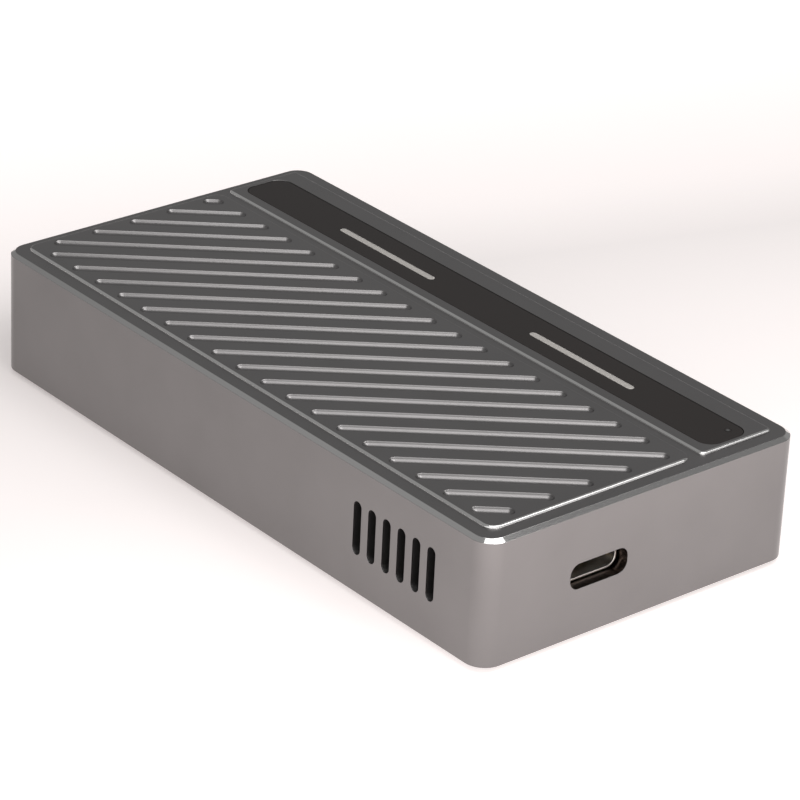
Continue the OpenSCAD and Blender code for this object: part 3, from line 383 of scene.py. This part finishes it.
def onCrispBevel(edge, look):
    if "crispZ" not in look:
        return False
    low, high = look["crispZ"]
    return all(low < vert.co.z < high
               and (abs(vert.co.x) > look["crispX"] or abs(vert.co.y) > look["crispY"])
               for vert in edge.verts)


def softenedCopy(name, node, slot, look):
    mesh = frame["nodes"][node].data.copy()
    work = bmesh.new()
    work.from_mesh(mesh)
    bmesh.ops.remove_doubles(work, verts=work.verts, dist=softening["mergeWithin"])
    bmesh.ops.dissolve_limit(work, angle_limit=math.radians(softening["flatTurn"]),
                             verts=work.verts, edges=work.edges)
    weight = work.edges.layers.float.new("bevel_weight_edge")
    sharpTurn = math.radians(look["sharpTurn"])
    for edge in work.edges:
        turned = len(edge.link_faces) == 2 and edge.calc_face_angle() > sharpTurn
        crisp = onCrispBevel(edge, look)
        edge[weight] = float(turned and not crisp)
        edge.smooth = not (turned and crisp)
    work.to_mesh(mesh)
    work.free()
    piece = addPiece(name, mesh, slot, nodes=[node])
    bevel = piece.modifiers.new("softEdges", "BEVEL")
    bevel.width = look["round"]
    bevel.segments = look["steps"]
    bevel.limit_method = "WEIGHT"
    bevel.use_clamp_overlap = False
    normals = piece.modifiers.new("flatFaces", "WEIGHTED_NORMAL")
    normals.weight = softening["faceWeight"]
    normals.keep_sharp = True
    print(name, "made from", node, "with", len(mesh.polygons), "faces before rounding")


softenedCopy("topShell", "top_shell", "shell", shellEdges)
softenedCopy("inlayStrip", "inlay_strip", "strip", stripEdges)
softenedCopy("portShell", "usb_c_shell", "receptacle", portEdges)


# Silver lines printed on the strip: plates with round ends and a slightly crowned edge

silverLines = {"width": 1.05 * mm, "thick": 0.02 * mm, "around": 48,
               # from the strip's near left corner: the middle of the lines, and where each starts and ends
               "inX": 3.25 * mm, "inY": [(17.85 * mm, 38.2 * mm), (58.7 * mm, 79 * mm)],
               # rings from the foot to the middle of the top: share of the half width, and of the height
               "rings": [(1.0, 0.0), (1.0, 0.6), (0.985, 1.0), (0.5, 1.0), (0.02, 1.0)]}


def roundPlate(look, middleX, nearY, farY, lowZ):
    # rings of a slot's outline, each drawn in from the last: the outline at angle a is a circle of the
    # ring's radius, moved to the far end for the back half and to the near end for the front half
    around, halfWidth = look["around"], look["width"] / 2
    angle = (np.arange(around) + 0.5) / around * 2 * np.pi
    end = np.where(np.sin(angle) > 0, farY - halfWidth, nearY + halfWidth)
    share, rise = (np.array(column)[:, None] for column in zip(*look["rings"]))
    x = middleX + share * halfWidth * np.cos(angle)
    y = end + share * halfWidth * np.sin(angle)
    z = np.broadcast_to(lowZ + rise * look["thick"], x.shape)
    verts = np.stack([x, y, z], -1).reshape(-1, 3)
    ring = np.arange(around)
    after = np.roll(ring, -1)
    starts = np.arange(len(look["rings"]) - 1) * around
    faces = [np.stack([start + ring, start + after, start + around + after, start + around + ring], -1)
             for start in starts]
    caps = [ring[::-1].tolist(), (ring + starts[-1] + around).tolist()]
    return verts, np.concatenate(faces).tolist() + caps


(stripLeft, stripFront, _), (_, _, stripTop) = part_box("inlay_strip")
for count, (near, far) in enumerate(silverLines["inY"], 1):
    verts, faces = roundPlate(silverLines, stripLeft + silverLines["inX"], stripFront + near,
                              stripFront + far, stripTop)
    mesh = bpy.data.meshes.new("silverLine%d" % count)
    mesh.from_pydata(verts.tolist(), [], faces)
    addPiece(mesh.name, mesh, "silver")
print("silver lines made:", len(silverLines["inY"]))


# Floor: a pale table that glows with painted light, more strongly towards the camera's side, with painted
# shade around the object's left

floorLook = {"half": 3.0, "dark": (0.64, 0.61, 0.60), "light": (0.66, 0.63, 0.62),
             "cloud": {"size": 0.06}, "roughness": (0.925, 0.05),
             "lamp": (1.38, 1.27, 1.25), "towards": (-0.30, -0.954), "reach": 400 * mm,
             # painted light: share of the lamp colour by how far a spot lies towards the camera's side, 0.5
             # in the middle; the dip near 0.43 is painted shade
             "glow": [(0.0, 0.75), (0.25, 0.62), (0.36, 0.42), (0.405, 0.33), (0.43, 0.225),
                      (0.46, 0.28), (0.50, 0.33), (0.545, 0.44), (0.57, 0.55), (0.59, 0.68), (0.63, 1.0)]}


def floorRecipe(at):
    cloud = at.noise(**floorLook["cloud"])
    x, y = at.axes("XY")
    towardsX, towardsY = floorLook["towards"]
    share = (x * towardsX + y * towardsY) / (2 * floorLook["reach"]) + 0.5
    # painted light and shade: the floor's glow, graded across the floor
    paintedLight = share.make("ValToRGB", {"stops": floorLook["glow"]}, {"Fac": share})
    return {"Base Color": cloud.blend(floorLook["dark"], floorLook["light"]),
            "Roughness": cloud.around(*floorLook["roughness"]),
            "Emission Color": paintedLight.blend((0, 0, 0), floorLook["lamp"])}


half = floorLook["half"]
floorMesh = bpy.data.meshes.new("paleFloor")
floorMesh.from_pydata([(-half, -half, 0), (half, -half, 0), (half, half, 0), (-half, half, 0)], [],
                      [(0, 1, 2, 3)])
floorMesh.materials.append(newMaterial("paintedLightTable", floorRecipe, Emission_Strength=1.0))
floor = bpy.data.objects.new("paleFloor", floorMesh)
bpy.context.scene.collection.objects.link(floor)
print("floor made")


# Room: dim walls around and beyond the object, a bright one behind the camera, and a dark card high
# on the right. Each follows how far a direction points its way

roomLight = {"strength": 1.0, "back": (-0.648, -0.762, 0.0), "card": (0.582, -0.180, 0.793),
             "backStops": [(0.0, 0.33), (0.30, 0.33), (0.50, 0.80), (0.62, 1.25), (1.0, 1.40)],
             "cardStops": [(0.0, 1.0), (0.88, 1.0), (0.96, 0.70), (1.0, 0.70)]}
world = bpy.data.worlds.new("studio")
bpy.context.scene.world = world
world.use_nodes = True
world.node_tree.nodes.clear()
air = Wire(world.node_tree)
way = air.make("TexCoord", out="Generated")


def roomShade(towards, stops):
    facing = air.make("VectorMath", {"operation": "DOT_PRODUCT"}, {0: way, 1: towards}, out="Value")
    return air.make("ValToRGB", {"stops": stops}, {"Fac": facing})


walls = roomShade(roomLight["back"], roomLight["backStops"])
card = roomShade(roomLight["card"], roomLight["cardStops"])
both = air.make("VectorMath", {"operation": "MULTIPLY"}, {0: walls, 1: card})
room = air.make("Background", {}, {"Color": both, "Strength": roomLight["strength"]})
worldOut = world.node_tree.nodes.new("ShaderNodeOutputWorld")
world.node_tree.links.new(room.socket, worldOut.inputs["Surface"])


# Camera, worked out from the photograph's outline: angles in degrees, lengths in millimetres from the
# middle of the shell's underside, which the feet lift off the floor

cameraView = {"azimuth": -40.416, "elevation": 26.534, "roll": 2.765, "distance": 526.06,
              "right": 2.6444, "up": 7.4965, "lift": 0.8, "focalPixels": 3886.105,
              "picturePixels": 800, "sensor": 36, "clip": (0.01, 20)}


def addHolder(name, data, place, right, up, backward):
    holder = bpy.data.objects.new(name, data)
    bpy.context.scene.collection.objects.link(holder)
    turned = Matrix((right, up, backward)).transposed().to_4x4()
    holder.matrix_world = Matrix.Translation(place) @ turned
    return holder


def placeCamera(view):
    turn, rise, roll = (math.radians(view[key]) for key in ("azimuth", "elevation", "roll"))
    backward = Vector((math.sin(turn) * math.cos(rise), -math.cos(turn) * math.cos(rise),
                       math.sin(rise)))
    level = (-backward).cross(Vector((0, 0, 1))).normalized()
    steep = level.cross(-backward)
    right = math.cos(roll) * level + math.sin(roll) * steep
    up = math.cos(roll) * steep - math.sin(roll) * level
    place = (backward * view["distance"] + right * view["right"] + up * view["up"]
             + Vector((0, 0, view["lift"]))) * mm
    camera = bpy.data.cameras.new("photoView")
    camera.sensor_width = view["sensor"]
    camera.lens = view["focalPixels"] / view["picturePixels"] * view["sensor"]
    camera.clip_start, camera.clip_end = view["clip"]
    bpy.context.scene.camera = addHolder("photoView", camera, place, right, up, backward)


# Soft boxes, turned towards the middle and placed by the camera's own right, the way it looks along
# the floor, and up: place, the way the width runs, width and height in metres, and glow

softBoxes = {
    "overheadSoft": {"place": (0.055, -0.078, 0.27), "side": (1, 0, 0), "size": (0.22, 0.19), "glow": 1.9},
    "rightSoft": {"place": (1.30, -0.16, 0.78), "side": (0, 1, 0), "size": (0.60, 0.70), "glow": 0.95},
    "hotSpot": {"place": (0.154, -0.044, 0.24), "side": (1, 0, 0), "size": (0.208, 0.068), "glow": 3.2},
}


def placeSoftBox(name, look):
    floorAxes = Matrix.Rotation(math.radians(cameraView["azimuth"]), 3, "Z")
    wide, tall = look["size"]
    lamp = bpy.data.lights.new(name, "AREA")
    lamp.shape = "RECTANGLE"
    lamp.size, lamp.size_y = wide, tall
    lamp.energy = math.pi * wide * tall * look["glow"]
    place = floorAxes @ Vector(look["place"])
    backward = place.normalized()
    side = floorAxes @ Vector(look["side"])
    across = (side - side.project(backward)).normalized()
    holder = addHolder(name, lamp, place, across, backward.cross(across), backward)
    holder.visible_camera = False


placeCamera(cameraView)
for name, look in softBoxes.items():
    placeSoftBox(name, look)
bpy.context.scene.view_settings.view_transform = "Standard"
print("room, camera and", len(softBoxes), "soft boxes set")
